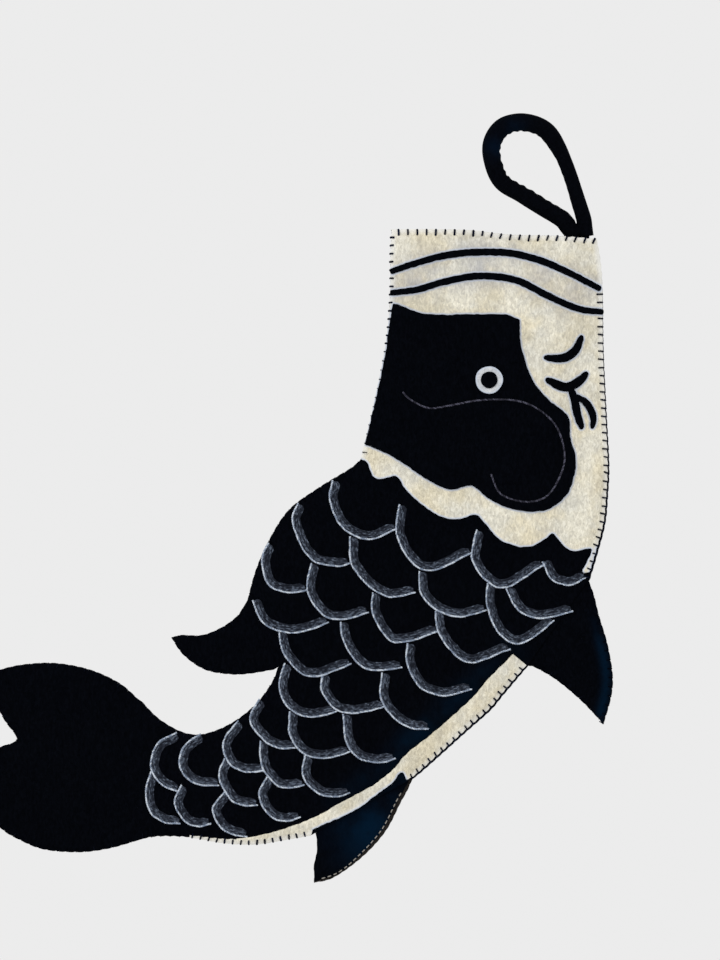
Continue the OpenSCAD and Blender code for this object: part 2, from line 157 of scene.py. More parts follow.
face_scallops = [[46, -331.5], [45, -329], [48.2, -324], [50.5, -319], [52, -313.6], [47, -313.3],
                 [40, -315], [32, -312], [23, -302], [17, -306], [3, -312], [-16, -307],
                 [-28, -294], [-35, -288], [-49, -291], [-61, -289], [-74, -281], [-87, -269],
                 [-94, -259], [-106, -261], [-112, -259], [-116, -249], [-121, -246]]
strip_inner = [[-214, -530.4], [-204, -529.2], [-181, -523.7], [-156, -514.3], [-134, -502.3],
               [-113, -491], [-102, -483], [-93, -474.5], [-86, -466], [-62, -447], [-38, -425],
               [-24, -409], [-7, -392]]
strip_outer = [[-87, -486], [-88.5, -481.5], [-92, -481.5], [-98, -489], [-110, -498], [-122, -507],
               [-134, -513.5], [-145, -518.3], [-157, -523.5]]
gill_top = [[-96.5, -129.5], [-89.5, -131.6], [-78, -136.5], [-62, -138.2], [-44, -138], [-14, -138],
            [-2, -142]]
gill_front = [[-2, -142], [-1, -162], [7, -186], [20, -202], [34, -214], [36, -230], [40, -248],
              [36, -267], [28, -278], [14, -285], [-6, -284], [-25, -276], [-38, -266],
              [-54, -269], [-72, -261], [-91, -248], [-106, -240], [-118, -235]]
gill_rear = [[-118, -235], [-109.5, -200], [-103, -170], [-100.2, -149], [-98, -136], [-96.5, -129.5]]
upper_lip = [[-98, -105.5], [-76, -98.5], [-54, -93.2], [-28, -91.3], [-4, -93], [22, -101],
             [58, -118.5]]
lower_lip = [[-98, -121.5], [-79.5, -119.5], [-56, -113], [-31, -109.2], [-4.5, -112.5], [19, -124],
             [41, -133.5], [60, -136]]
nostril = [[17.5, -170.3], [27, -171], [34.5, -169], [40, -164], [44, -155]]
barbel_bar = [[19, -187], [25, -190], [31.5, -192.3], [37.5, -191], [43.5, -187], [47.5, -182.5]]
barbel_long = [[36, -193], [39, -203], [41, -212], [44, -222]]
barbel_short = [[40, -199], [47, -203.5], [51.5, -210], [53.2, -216], [52.3, -222]]
gill_curl = [[-89.5, -196], [-84, -201.5], [-70, -208], [-54, -206], [-31, -202], [-4.5, -202.5],
             [13.5, -210], [26.5, -224], [31.5, -245], [26.5, -262], [17, -274.5], [1.5, -278],
             [-16.5, -272], [-23.5, -257.5]]
scale_rows = [
    [[[-142, -262], [-144, -277], [-135, -297], [-115, -306], [-94, -298]],
     [[-92, -280], [-94, -302], [-82, -324], [-65, -329], [-38, -316]],
     [[-34, -299], [-38, -319], [-28, -336], [-12, -342], [16, -325]],
     [[15, -323], [21, -335], [28, -339], [38, -340], [48, -334]]],
    [[[-168, -279], [-172, -294], [-159, -320], [-140, -326], [-129, -324]],
     [[-129, -304], [-128, -324], [-116, -340], [-100, -349], [-80, -346]],
     [[-77, -330], [-76, -346], [-64, -359], [-46, -364], [-27, -359]],
     [[-12, -343], [-4, -358], [10, -365], [22, -364], [38, -360]]],
    [[[-190, -309], [-195, -322], [-190, -340], [-175, -346], [-161, -344]],
     [[-158, -324], [-161, -344], [-150, -362], [-135, -366], [-115, -361]],
     [[-112, -346], [-112, -361], [-101, -380], [-88, -383], [-63, -375]],
     [[-65, -360], [-63, -375], [-50, -393], [-36, -398], [-9, -388]],
     [[-26, -339], [-26, -358], [-16, -378], [0, -384], [24, -367]]],
    [[[-202, -352], [-194, -369], [-175, -376], [-160, -374], [-145, -368]],
     [[-182, -376], [-179, -391], [-166, -406], [-151, -408], [-128, -399]],
     [[-136, -368], [-134, -382], [-122, -400], [-109, -404], [-90, -402]],
     [[-86, -384], [-86, -400], [-76, -417], [-58, -423], [-38, -418]]],
    [[[-150, -407], [-150, -419], [-140, -433], [-123, -436], [-103, -431]],
     [[-105, -406], [-106, -424], [-98, -438], [-84, -447], [-70, -448]]],
    [[[-178, -399], [-182, -417], [-174, -433], [-158, -439], [-139, -435]],
     [[-134, -437], [-132, -457], [-122, -470], [-105, -473], [-95, -470]]],
    [[[-197, -426], [-204, -441], [-195, -455], [-183, -462], [-170, -462]],
     [[-174, -435], [-174, -452], [-164, -466], [-148, -470], [-129, -465]],
     [[-163, -468], [-164, -484], [-153, -496], [-140, -499], [-129, -496]]],
    [[[-213, -442], [-224, -458], [-219, -474], [-207, -480], [-193, -479]],
     [[-196, -457], [-195, -475], [-185, -489], [-176, -492], [-163, -490]],
     [[-191, -484], [-197, -497], [-190, -512], [-178, -517], [-166, -514]]],
    [[[-241, -452], [-254, -462], [-256, -478], [-244, -489], [-227, -490]],
     [[-223, -470], [-227, -484], [-219, -500], [-208, -505], [-198, -505]],
     [[-223, -495], [-232, -508], [-226, -521], [-218, -527], [-206, -529]]],
    [[[-259, -451], [-274, -460], [-278, -478], [-269, -490], [-258, -495]],
     [[-255, -490], [-260, -503], [-253, -517], [-243, -521], [-233, -519]],
     [[-278, -480], [-282, -496], [-278, -511], [-267, -518], [-256, -519]]],
]
# Strokes of each face mark: route, width at the ends, swell in the middle, reach past the ends
face_strokes = {
    "upper_lip_stripe": [(upper_lip, 4.3, 0.9, 1.2)],
    "lower_lip_stripe": [(lower_lip, 4.3, 0.9, 1.1)],
    "nostril_mark": [(nostril, 3.4, 3, 1.7)],
    "barbel_mark": [(barbel_bar, 4, 3, 2), (barbel_long, 4, 2, 2), (barbel_short, 3, 2.4, 1.5)],
}
loop_ends = [[41, -79], [48, -79]]
loop_route = [[35, -72], [30, -66], [17, -58], [1, -48], [-15, -38], [-22, -22], [-22, -8],
              [-14, 3], [1, 6.4], [17, 1], [28, -14], [36, -33], [42, -52], [46, -65], [47, -72]]


# ---- flat curves and distances

def curve(points, n=8):
    """Catmull-Rom curve through points, with n pieces between each two."""
    p = np.array(points, float)
    p = np.vstack([p[:1], p, p[-1:]])
    t = np.arange(n)[:, None] / n
    parts = []
    for a, b, c, d in zip(p, p[1:], p[2:], p[3:]):
        parts.append(0.5 * (2 * b + (c - a) * t + (2 * a - 5 * b + 4 * c - d) * t**2
                            + (3 * b - a - 3 * c + d) * t**3))
    return np.vstack(parts + [p[-1:]])


def lengths(path):
    """Distance along a path to each of its points."""
    return np.concatenate([[0], np.cumsum(np.linalg.norm(np.diff(path, axis=0), axis=1))])


def at(path, where):
    """Points at distances along a path."""
    s = lengths(path)
    return np.column_stack([np.interp(where, s, c) for c in path.T])


def spaced(path, step):
    """The same path with evenly spaced points."""
    path = np.array(path, float)
    whole = lengths(path)[-1]
    return at(path, np.linspace(0, whole, max(2, round(whole / step) + 1)))


def unit(vectors):
    return vectors / np.maximum(np.linalg.norm(vectors, axis=1), 1e-9)[:, None]


def left_of(path):
    """Unit normals to the left of a flat path, which is the outside of a clockwise outline."""
    d = unit(np.gradient(path, axis=0))
    return np.column_stack([-d[:, 1], d[:, 0]])


def distance(points, path):
    """Distance of each flat point from an open path."""
    best = np.full(len(points), 1e9)
    for a, b in zip(path[:-1], path[1:]):
        ab = b - a
        t = np.clip((points - a) @ ab / max(ab @ ab, 1e-9), 0, 1)
        best = np.minimum(best, np.hypot(*(points - a - t[:, None] * ab).T))
    return best


def inside(points, loop):
    """Which points lie inside a closed outline."""
    x, z = points.T
    found = np.zeros(len(points), bool)
    for (ax, az), (bx, bz) in zip(loop, np.roll(loop, -1, axis=0)):
        if az != bz:
            found ^= ((az > z) != (bz > z)) & (x < (bx - ax) * (z - az) / (bz - az) + ax)
    return found


def closed(loop):
    return np.vstack([loop, loop[:1]])


def area(loop):
    """Area of a closed outline, negative when it runs clockwise."""
    x, z = loop.T
    return 0.5 * (np.dot(x, np.roll(z, -1)) - np.dot(z, np.roll(x, -1)))


def raised(flat, y):
    """Solid points from flat ones and how far back each lies."""
    return np.column_stack([flat[:, 0], y, flat[:, 1]])


def ease(t):
    t = np.clip(t, 0, 1)
    return t * t * (3 - 2 * t)


def ripple(points, size, seed):
    """Gentle waves of about that size, from -1 to 1."""
    rng = np.random.default_rng(seed)
    total = np.zeros(len(points))
    for _ in range(6):
        angle, phase = rng.uniform(0, 2 * math.pi, 2)
        direction = np.array([math.cos(angle), math.sin(angle)])
        total += np.sin(points @ direction * 2 * math.pi / (size * rng.uniform(0.7, 1.6)) + phase)
    return total / 3.5


def wander(count, window, rng):
    """Smooth random values of about -1 to 1."""
    kernel = np.hanning(window + 2)
    values = np.convolve(rng.normal(size=count + len(kernel)), kernel / np.linalg.norm(kernel), "same")
    return np.clip(values[:count], -2, 2) / 1.6


# ---- edges and outlines

def inset(edge, start, end):
    """A clockwise edge moved inwards, by different amounts at its start and end."""
    return edge - left_of(edge) * np.linspace(start, end, len(edge))[:, None]


def uneven(path, amount):
    """A path cut by hand."""
    rng = np.random.default_rng(len(path))
    return path + left_of(path) * (amount * wander(len(path), 2, rng))[:, None]


def plain(points):
    return uneven(spaced(curve(points), STEP), 0.26)


def sewn(points, pitch=STITCH_PITCH, drawn_in=0.45):
    """A clockwise edge that each blanket stitch draws in a little."""
    path = spaced(curve(points), EDGE_STEP)
    off_stitch = ((lengths(path) / pitch - (FIRST_STITCH - 0.5)) % 1 - 0.5) * pitch
    return path - left_of(path) * (drawn_in * np.exp(-(off_stitch / 1.3) ** 2))[:, None]


def outline(*parts):
    """Closed loop of paths, with a straight stretch where one doesn't start at the last one's end."""
    pieces = []
    for path, following in zip(parts, parts[1:] + parts[:1]):
        pieces.append(path[:-1])
        gap = np.array([path[-1], following[0]])
        if lengths(gap)[-1] > 1.0:
            pieces.append(spaced(gap, STEP)[:-1])
    return np.vstack(pieces)


mouth = sewn(mouth_edge)
throat = sewn(throat_edge, SEAM_PITCH)
belly_fore = sewn(belly_fore_edge, SEAM_PITCH)
belly_rear = sewn(belly_rear_edge, SEAM_PITCH)
loin = sewn(loin_edge)
back = sewn(back_edge)
nape = sewn(nape_edge, SEAM_PITCH)
tail_rim = [sewn(tail_lower[::-1]), sewn(tail_notch[::-1]), sewn(tail_upper[::-1])]
dorsal_rim = [sewn(dorsal_bottom[::-1]), sewn(dorsal_top[::-1])]
dorsal_seam = np.array([loin_edge[-1], back_edge[0]], float)
tail_cut = spaced([belly_rear_edge[-1], loin_edge[0]], STEP)
dorsal_cut = spaced(dorsal_seam, STEP)

silhouette = closed(outline(mouth, throat, belly_fore, belly_rear, *tail_rim, loin, *dorsal_rim, back,
                            nape))
body_loop = outline(mouth, throat, belly_fore, belly_rear, tail_cut, loin, dorsal_cut, back, nape)
tail_loop = outline(*tail_rim, tail_cut[::-1])
dorsal_loop = outline(*dorsal_rim, dorsal_cut[::-1])
pocket_seams = np.vstack([body_loop[len(mouth):], body_loop[:1]])


# ---- heights of the stacked layers

def pocket(p):
    """Inner height of the relaxed pocket, held open at its sewn-in fins and closed past its seams."""
    d = distance(p, pocket_seams[::3]) * inside(p, body_loop)
    puff = POCKET * (1 - (1 - np.clip(d / PUFF_WIDTH, 0, 1)) ** 2)
    root = np.minimum(distance(p, pectoral_seam), distance(p, pelvic_seam))
    return np.maximum(puff, 0.8 * FELT * np.exp(-(root / 12) ** 2))


def press(p):
    """Share of its thickness that felt keeps near a sewn edge."""
    return 1 - PRESSED * np.exp(-(distance(p, silhouette[::2]) / 5) ** 2)


def panel_low(p, seed=1):
    return pocket(p) + 0.35 * ripple(p, 55, seed) * ease(distance(p, silhouette[::3]) / 14)


def panel_high(p, seed=1):
    return panel_low(p, seed) + FELT * press(p)


def rear_low(p):
    return panel_low(p, 2)


def rear_high(p):
    return panel_high(p, 2)


def face_high(p):
    return panel_high(p) + APPLIQUE * press(p)


def strip_high(p):
    """Outer height of the belly strip, which thins out towards its rear tip."""
    return panel_high(p) + APPLIQUE * press(p) * (1 - 0.5 * ease((-200 - p[:, 0]) / 40))


def cover_high(p):
    groove = 0.5 * np.exp(-(distance(p, curve(gill_curl, 4)) / 1.6) ** 2)
    return face_high(p) + APPLIQUE * 0.9 - groove


def eye_high(p):
    return cover_high(p) + MARK


def tail_sway(p):
    return 1.6 * ease((tail_cut[0][0] - p[:, 0]) / 80) * ripple(p, 95, 5)


def swaying(size, line, start, width, wave, seed):
    """How far a fin waves out of its plane, more and more with the distance from a line."""
    return lambda p: size * ease((distance(p, line) - start) / width) * ripple(p, wave, seed)


dorsal_sway = swaying(1.0, dorsal_cut[::6], 0, 30, 60, 6)
pectoral_sway = swaying(1.4, pectoral_seam, 6, 50, 75, 7)
pelvic_sway = swaying(1.0, pelvic_seam, 6, 40, 60, 8)


# ---- meshes

def make_object(name, verts, faces, material, attributes):
    """Smooth mesh object from millimetre points."""
    mesh = bpy.data.meshes.new(name)
    mesh.from_pydata((np.asarray(verts) * MM).tolist(), [], faces)
    for key, values in attributes.items():
        mesh.attributes.new(key, "FLOAT", "POINT").data.foreach_set("value", np.float32(values))
    shape = bmesh.new()
    shape.from_mesh(mesh)
    bmesh.ops.recalc_face_normals(shape, faces=shape.faces)
    shape.to_mesh(mesh)
    shape.free()
    mesh.polygons.foreach_set("use_smooth", [True] * len(mesh.polygons))
    obj = bpy.data.objects.new(name, mesh)
    bpy.context.scene.collection.objects.link(obj)
    mesh.materials.append(material)
    return obj


def fill(loop, grain, beside):
    """Triangles inside a closed loop: flat points and faces, finest along the edge and round the
    outlines of what lies on it."""
    ring = closed(loop)
    inward = left_of(ring)[:-1] * np.sign(area(loop))
    chosen = [loop]
    for d in RIM_ROWS:
        moved = loop + inward * d
        near = distance(moved, ring)
        chosen.append(moved[(near > 0.93 * d) & inside(moved, loop)])
    for other in beside:
        for d in HALO_ROWS:
            moved = other + left_of(closed(other))[:-1] * d
            near = distance(moved, closed(other))
            chosen.append(moved[(near > 0.93 * d) & inside(moved, loop) & (distance(moved, ring) > 1.8)])
    low, high = loop.min(axis=0), loop.max(axis=0)
    xs = np.arange(low[0], high[0], grain)
    zs = np.arange(low[1], high[1], grain * 0.866)
    grid = np.array([[x + grain / 2 * (k % 2), z] for k, z in enumerate(zs) for x in xs])
    grid = grid[inside(grid, loop)]
    chosen.append(grid[distance(grid, ring) > RIM_ROWS[-1] + grain * 0.45])
    points = np.vstack(chosen)
    border = [(i, (i + 1) % len(loop)) for i in range(len(loop))]
    found = delaunay_2d_cdt([Vector(p) for p in points], border, [], 1, 1e-4)
    return np.array([list(v) for v in found[0]]), [tuple(f) for f in found[2]]


def slab(name, loop, low, high, material, face="front", rim=None, mid=None, round_at=1.3, grain=3.2,
         beside=(), halo=None, patch=None):
    """Closed layer of felt cut to a flat loop, between two heights, with its cut edge rounded.
    Its colour is paler along the halo paths, which are its whole rim by default, and has patches
    of another colour, painted sheen on black felt and painted shade on cream, where patch, a share from 0
    to 1, is high."""
    flat, triangles = fill(loop, grain, beside)
    edge = distance(flat, closed(loop) if rim is None else rim)
    full = np.sqrt(1 - (1 - np.clip(edge / round_at, 0, 1)) ** 2)
    a, b = low(flat), high(flat)
    half = (b - a) / 2 * (0.3 + 0.7 * full)
    middle = (a + b) / 2
    sway = mid(flat) if mid else 0
    shells = [raised(flat, SIDES[face] * (middle + s * half) - sway) for s in (1, -1)]
    count = len(flat)
    edges = dict.fromkeys((i, j) for f in triangles for i, j in zip(f, f[1:] + f[:1]))
    border = [(i, j) for i, j in edges if (j, i) not in edges]
    faces = triangles + [tuple(i + count for i in reversed(f)) for f in triangles]
    faces += [(i, i + count, j + count, j) for i, j in border]
    pale = edge if halo is None else np.min([distance(flat, path) for path in halo], axis=0)
    attributes = {"edge": np.tile(pale, 2), "seam": np.tile(distance(flat, silhouette[::2]), 2)}
    if patch:
        attributes["patch"] = np.tile(patch(flat), 2)
    return make_object(name, np.vstack(shells), faces, material, attributes)


def wall(count, sides, start=0):
    """Faces that join rings of points."""
    faces = []
    for i in range(start, start + (count - 1) * sides, sides):
        for k in range(sides):
            p, q = i + k, i + (k + 1) % sides
            faces.append((p, q, q + sides, p + sides))
    return faces


class Strands:
    """Round strands gathered into one mesh."""

    def __init__(self):
        self.verts = []
        self.faces = []
        self.tones = []
        self.count = 0

    def add(self, path, radius, sides=6, tone=0.5, across=(0, 1, 0)):
        """A strand along solid points; its rings are turned by a direction that it never follows."""
        n = len(path)
        d = unit(np.gradient(path, axis=0))
        a = unit(np.cross(d, across))
        b = np.cross(d, a)
        r = np.broadcast_to(radius, n)
        turn = np.arange(sides)[:, None] * 2 * math.pi / sides
        rings = path[:, None] + r[:, None, None] * (np.cos(turn) * a[:, None] + np.sin(turn) * b[:, None])
        tips = [path[0] - d[0] * r[0] * 0.6, path[-1] + d[-1] * r[-1] * 0.6]
        self.verts.append(np.vstack([rings.reshape(-1, 3), tips]))
        start = self.count
        self.faces += wall(n, sides, start)
        end = start + (n - 1) * sides
        first, last = end + sides, end + sides + 1
        for k in range(sides):
            self.faces.append((first, start + (k + 1) % sides, start + k))
            self.faces.append((last, end + k, end + (k + 1) % sides))
        tone = np.broadcast_to(tone, n)
        self.tones.append(np.concatenate([np.repeat(tone, sides), tone[[0, -1]]]))
        self.count += n * sides + 2

    def twist(self, path, radius, lay, rng):
        """Two plies wound round each other, thick and thin along their length."""
        s = lengths(path)
        d = unit(np.gradient(path, axis=0))
        side = unit(np.cross(d, (0, 1, 0)))
        up = np.cross(d, side)
        swell = 1 + 0.16 * wander(len(path), 7, rng)
        for ply in (0, math.pi):
            phase = (2 * math.pi * s / lay + ply)[:, None]
            offset = 0.48 * radius * (np.cos(phase) * side + np.sin(phase) * up)
            self.add(path + offset, 0.6 * radius * swell, tone=0.5 + 0.3 * wander(len(path), 5, rng))

    def build(self, name, material):
        tones = np.concatenate(self.tones)
        return make_object(name, np.vstack(self.verts), self.faces, material, {"tone": tones})


def lifted(path, high, lift):
    """A flat path laid on the front surface."""
    return raised(path, -(high(path) + lift))


# ---- materials

class Graph:
    """A material, and what its node tree is built with."""

    def __init__(self, name):
        self.material = bpy.data.materials.new(name)
        self.material["slot"] = name
        self.material.use_nodes = True
        self.tree = self.material.node_tree
        self.shader = self.tree.nodes["Principled BSDF"]

    def feed(self, socket, value):
        """Gives an input its value, which is another node's output, a colour or a number."""
        if isinstance(value, bpy.types.NodeSocket):
            self.tree.links.new(value, socket)
        else:
            socket.default_value = (*value, 1) if socket.type == "RGBA" else value

    def node(self, kind, **values):
        """A node, with values for its inputs and its settings."""
        made = self.tree.nodes.new(kind)
        for key, value in values.items():
            if key in made.inputs:
                self.feed(made.inputs[key], value)
            else:
                setattr(made, key, value)
        return made

    def place(self):
        return self.node("ShaderNodeTexCoord").outputs["Object"]

    def attribute(self, name):
        return self.node("ShaderNodeAttribute", attribute_name=name).outputs["Fac"]

    def noise(self, place, **values):
        return self.node("ShaderNodeTexNoise", Vector=place, **values).outputs["Fac"]

    def ramp(self, value, *stops):
        """Colour at a value, between (position, colour) stops."""
        made = self.node("ShaderNodeValToRGB", Fac=value)
        elements = made.color_ramp.elements
        while len(elements) < len(stops):
            elements.new(0.5)
        for element, (position, colour) in zip(elements, stops):
            element.position = position
            element.color = (*colour, 1)
        return made.outputs[0]

    def mix(self, factor, a, b, mode="MIX"):
        """Mix of two colours; the node's sockets are for numbers and vectors too."""
        made = self.node("ShaderNodeMix", data_type="RGBA", blend_type=mode)
        for socket, value in ((0, factor), (6, a), (7, b)):
            self.feed(made.inputs[socket], value)
        return made.outputs[2]

    def product(self, a, b, added=0.0):
        made = self.node("ShaderNodeMath", operation="MULTIPLY_ADD")
        for socket, value in zip(made.inputs, (a, b, added)):
            self.feed(socket, value)
        return made.outputs[0]

    def finish(self, colour, height, strength, rise, values):
        """Colour and bump of the shader, and its own values."""
        bump = self.node("ShaderNodeBump", Strength=strength, Distance=rise, Height=height)
        self.feed(self.shader.inputs["Base Color"], colour)
        self.feed(self.shader.inputs["Normal"], bump.outputs[0])
        for key, value in values.items():
            self.shader.inputs[key].default_value = value
        return self.material


def felt(name, shades, rims=(), patches=None, stain=None, sheen=0.0, specular=0.1,
         streak=(1, 1, 0.5)):
    """Pressed wool: short fibres and blotches, shades from dark to light, patches of another colour that
    are painted sheen on black felts and painted shade on cream, and paler rims, each (mesh attribute that
    holds the distance, colour, width, share)."""
    graph = Graph(name)
    place = graph.place()
    stretched = graph.node("ShaderNodeMapping", Vector=place, Scale=streak).outputs[0]
    fibre = graph.noise(stretched, Scale=520, Detail=4, Roughness=0.7, Distortion=0.8)
    blotch = graph.noise(place, Scale=60, Detail=4, Roughness=0.65)
    hair = graph.noise(place, Scale=2600, Detail=2, Roughness=0.7, Distortion=1.5)
    tint = graph.ramp(fibre, (0.36, shades[0]), (0.5, shades[1]), (0.64, shades[2]))
    wide = graph.ramp(blotch, (0.36, (0.84, 0.855, 0.89)), (0.6, (1, 1, 1)))
    colour = graph.mix(1.0, tint, wide, "MULTIPLY")
    if stain:
        worn = graph.noise(place, Scale=32, Detail=5, Roughness=0.6)
        warm = graph.ramp(worn, (0.4, stain), (0.56, (1, 1, 1)))
        colour = graph.mix(1.0, colour, warm, "MULTIPLY")
    # Patches of painted sheen on black felts and painted shade on cream, where the mesh attribute patch is
    # high
    if patches:
        spots = graph.noise(place, Scale=45, Detail=3, Roughness=0.55)
        where = graph.ramp(spots, (0.36, (0.25, 0.25, 0.25)), (0.62, (1, 1, 1)))
        colour = graph.mix(graph.product(where, graph.attribute("patch")), colour, patches)
    for away, pale, width, share in rims:
        ends = {"From Min": width * 0.3, "From Max": width, "To Min": share, "To Max": 0}
        near = graph.node("ShaderNodeMapRange", Value=graph.attribute(away), **ends)
        colour = graph.mix(near.outputs[0], colour, pale)
    return graph.finish(colour, graph.product(hair, 0.6, fibre), 0.35, 0.0006,
                        {"Roughness": 0.95, "Specular IOR Level": specular, "Sheen Weight": sheen,
                         "Sheen Roughness": 0.6})


def yarn(name, shades, specular=0.12):
    """Spun wool: its tone follows each strand, with fine flecks over it."""
    graph = Graph(name)
    fleck = graph.noise(graph.place(), Scale=1900, Detail=3, Roughness=0.7)
    total = graph.product(graph.product(fleck, 0.9, graph.attribute("tone")), 0.95)
    tint = graph.ramp(total, (0.65, shades[0]), (0.95, shades[1]), (1.0, shades[2]))
    return graph.finish(tint, fleck, 0.4, 0.0004, {"Roughness": 0.9, "Specular IOR Level": specular})


BLACK = ((0.0008, 0.0011, 0.002), (0.0013, 0.0017, 0.003), (0.002, 0.0026, 0.0045))
black_felt = felt("black_felt", BLACK, specular=0.012)
back_felt = felt("back_felt", ((0.004, 0.0044, 0.006), (0.0065, 0.007, 0.0095), (0.01, 0.0105, 0.014)),
                 specular=0.03)
# Black felts whose patches are painted navy sheen: above the belly strip on the body, and on the front fin
# layers
body_felt = felt("body_felt", BLACK, patches=(0.001, 0.007, 0.017), specular=0.012)
navy_felt = felt("navy_felt", BLACK, patches=(0.001, 0.01, 0.026), specular=0.012)
brown_felt = felt("brown_black_felt", ((0.012, 0.01, 0.009), (0.022, 0.019, 0.016), (0.04, 0.034, 0.03)),
                  specular=0.02)
# Its patches are painted shade between the lips, and its seam rim is a painted highlight on the felt along
# the sewn edges
cream_felt = felt("cream_felt", ((0.62, 0.585, 0.495), (0.78, 0.742, 0.615), (0.95, 0.91, 0.78)),
                  stain=(0.94, 0.9, 0.81), patches=(0.25, 0.27, 0.36),
                  rims=(("seam", (0.86, 0.86, 0.84), 4.5, 0.6), ("edge", (0.6, 0.66, 0.78), 1.7, 0.85)),
                  sheen=0.05)
white_felt = felt("white_felt", ((0.5, 0.52, 0.55), (0.66, 0.68, 0.7), (0.75, 0.76, 0.77)),
                  rims=(("edge", (0.55, 0.62, 0.74), 1.2, 0.85),), sheen=0.05, streak=(1, 1, 1))
# Black felt whose patches are painted navy sheen at the bends of the hanging loop
loop_felt = felt("loop_felt", BLACK, specular=0.02, patches=(0.001, 0.0065, 0.018), streak=(1, 1, 1))
pale_yarn = yarn("pale_yarn", ((0.2, 0.25, 0.34), (0.42, 0.48, 0.58), (0.62, 0.68, 0.76)))
band_yarn = yarn("band_yarn", ((0.0105, 0.013, 0.021), (0.04, 0.049, 0.07), (0.106, 0.13, 0.174)))
grey_thread = yarn("grey_thread", ((0.014, 0.014, 0.022), (0.042, 0.041, 0.06), (0.085, 0.085, 0.12)))
dark_thread = yarn("dark_thread", ((0.001, 0.002, 0.008), (0.003, 0.005, 0.016), (0.01, 0.014, 0.03)),
                   specular=0.03)
black_thread = yarn("black_thread", ((0.0005, 0.0006, 0.002), (0.001, 0.0014, 0.004),
                                     (0.004, 0.005, 0.01)), specular=0.02)
beige_thread = yarn("beige_thread", ((0.16, 0.15, 0.13), (0.3, 0.28, 0.25), (0.42, 0.4, 0.36)))


# ---- how pieces move


def across_bend(obj):
    """Bakes the transform of a piece that lies over the bend line of the body."""
    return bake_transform(obj)


def with_tail(obj):
    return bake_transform(obj)


def with_fin():
    """How a piece is attached that lies just outside the seam that a fin is sewn into: its transform is
    baked into its mesh.
    """
    return lambda obj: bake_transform(obj)


with_dorsal = with_fin()
with_pectoral = with_fin()
with_pelvic = with_fin()


def with_fore(obj):
    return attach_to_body(obj, "fore_body")


def stands_for(obj, slot, *nodes):
    """Hides the CAD nodes that a piece stands for; its material slot is not used."""
    if nodes:
        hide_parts(*nodes)


def layer(name, loop, low, high, material, attach, nodes, held="laid", rests_on="front_felt",
          slot=None, **shape):
    """A layer cut from flat felt and attached to bodies."""
    obj = slab(name, loop, low, high, material, **shape)
    attach(obj)
    stands_for(obj, slot or material["slot"], *nodes)


# ---- camera, light and floor

def studio():
    scene = bpy.context.scene
    scene.view_settings.view_transform = "Standard"
    world = bpy.data.worlds.new("studio")
    scene.world = world
    world.use_nodes = True
    world.node_tree.nodes["Background"].inputs["Color"].default_value = (0.838, 0.838, 0.838, 1)
    camera = bpy.data.objects.new("camera", bpy.data.cameras.new("camera"))
    scene.collection.objects.link(camera)
    camera.data.lens = LENS
    camera.location = (VIEW_CENTRE[0], -VIEW_DISTANCE, VIEW_CENTRE[1])
    camera.rotation_euler = (math.pi / 2, 0, 0)
    scene.camera = camera
    lights = [("key", (-1.1, -1.2, 0.9), 0.9, 9.0), ("fill", (1.3, -1.0, -0.1), 0.9, 2.0),
              ("rear", (0.8, 1.5, 0.6), 0.9, 8.0)]
    for name, place, size, power in lights:
        light = bpy.data.lights.new(name, "AREA")
        light.shape = "DISK"
        light.size = size
        light.energy = power
        lamp = bpy.data.objects.new(name, light)
        lamp.location = place
        aim = Vector((-0.15, 0, -0.28)) - lamp.location
        lamp.rotation_euler = aim.to_track_quat("-Z", "Y").to_euler()
        scene.collection.objects.link(lamp)
    floor_mesh = bpy.data.meshes.new("floor")
    turn = np.linspace(0, 2 * math.pi, 97)[:-1]
    ring = np.array(FLOOR_CENTRE) + FLOOR_RADIUS * np.column_stack([np.cos(turn), np.sin(turn), 0 * turn])
    floor_mesh.from_pydata(ring.tolist(), [], [tuple(range(len(turn)))])
    floor = bpy.data.objects.new("floor", floor_mesh)
    scene.collection.objects.link(floor)
    matt = Graph("floor_matt")
    matt.shader.inputs["Base Color"].default_value = (0.8, 0.8, 0.8, 1)
    matt.shader.inputs["Roughness"].default_value = 0.9
    floor_mesh.materials.append(matt.material)


# ---- felt layers

def belly_painted_sheen(p):
    """Painted navy sheen on the body: above the belly strip."""
    d = distance(p, curve(strip_inner, 3))
    return 0.8 * np.exp(-((d - 6) / 9) ** 2) * np.exp(-((p[:, 0] + 75) / 55) ** 2)


# Face, material, lower and upper surface
body_surfaces = (("front", black_felt, panel_low, panel_high), ("back", back_felt, rear_low, rear_high))


def body_layers():
    for face, material, low, high in body_surfaces:
        looks, patch = (body_felt, belly_painted_sheen) if face == "front" else (material, None)
        layer(f"{face}_felt", body_loop, low, high, looks, across_bend,
              (f"{face}_panel_fore", f"{face}_panel_rear"), "hung", "hanging_loop",
              slot=material["slot"], face=face, rim=silhouette, patch=patch)


def flap_layers(name, node, loop, sway, attach):
    """Two layers that carry on the surfaces of the body: the tail, or the dorsal fin."""
    for face, material, low, high in body_surfaces:
        layer(f"{name}_{face}_felt", loop, low, high, material, attach, (f"{node}_{face}",), "hung",
              face=face, rim=silhouette, mid=sway)


def rooted(rim, seam):
    """Fin outline that runs on into the seam between the two body layers."""
    out = left_of(seam)[0]
    along = np.array([out[1], -out[0]])
    start, end = seam + np.array([along, -along]) * ROOT_CORNER - out * ROOT_DEPTH
    return outline(*rim, spaced([end, start], STEP))


def zero(p):
    return np.zeros(len(p))


def fin_high(rim):
    return lambda p: FELT * (1 - PRESSED * np.exp(-(distance(p, rim) / 4) ** 2))


def pectoral_painted_sheen(p):
    """Painted navy sheen on the pectoral fin: a band inside its outer edge."""
    band = np.exp(-((distance(p, curve(pectoral_outer)) - 5) / 3.5) ** 2)
    return 0.7 * band * ease((-355 - p[:, 1]) / 35)


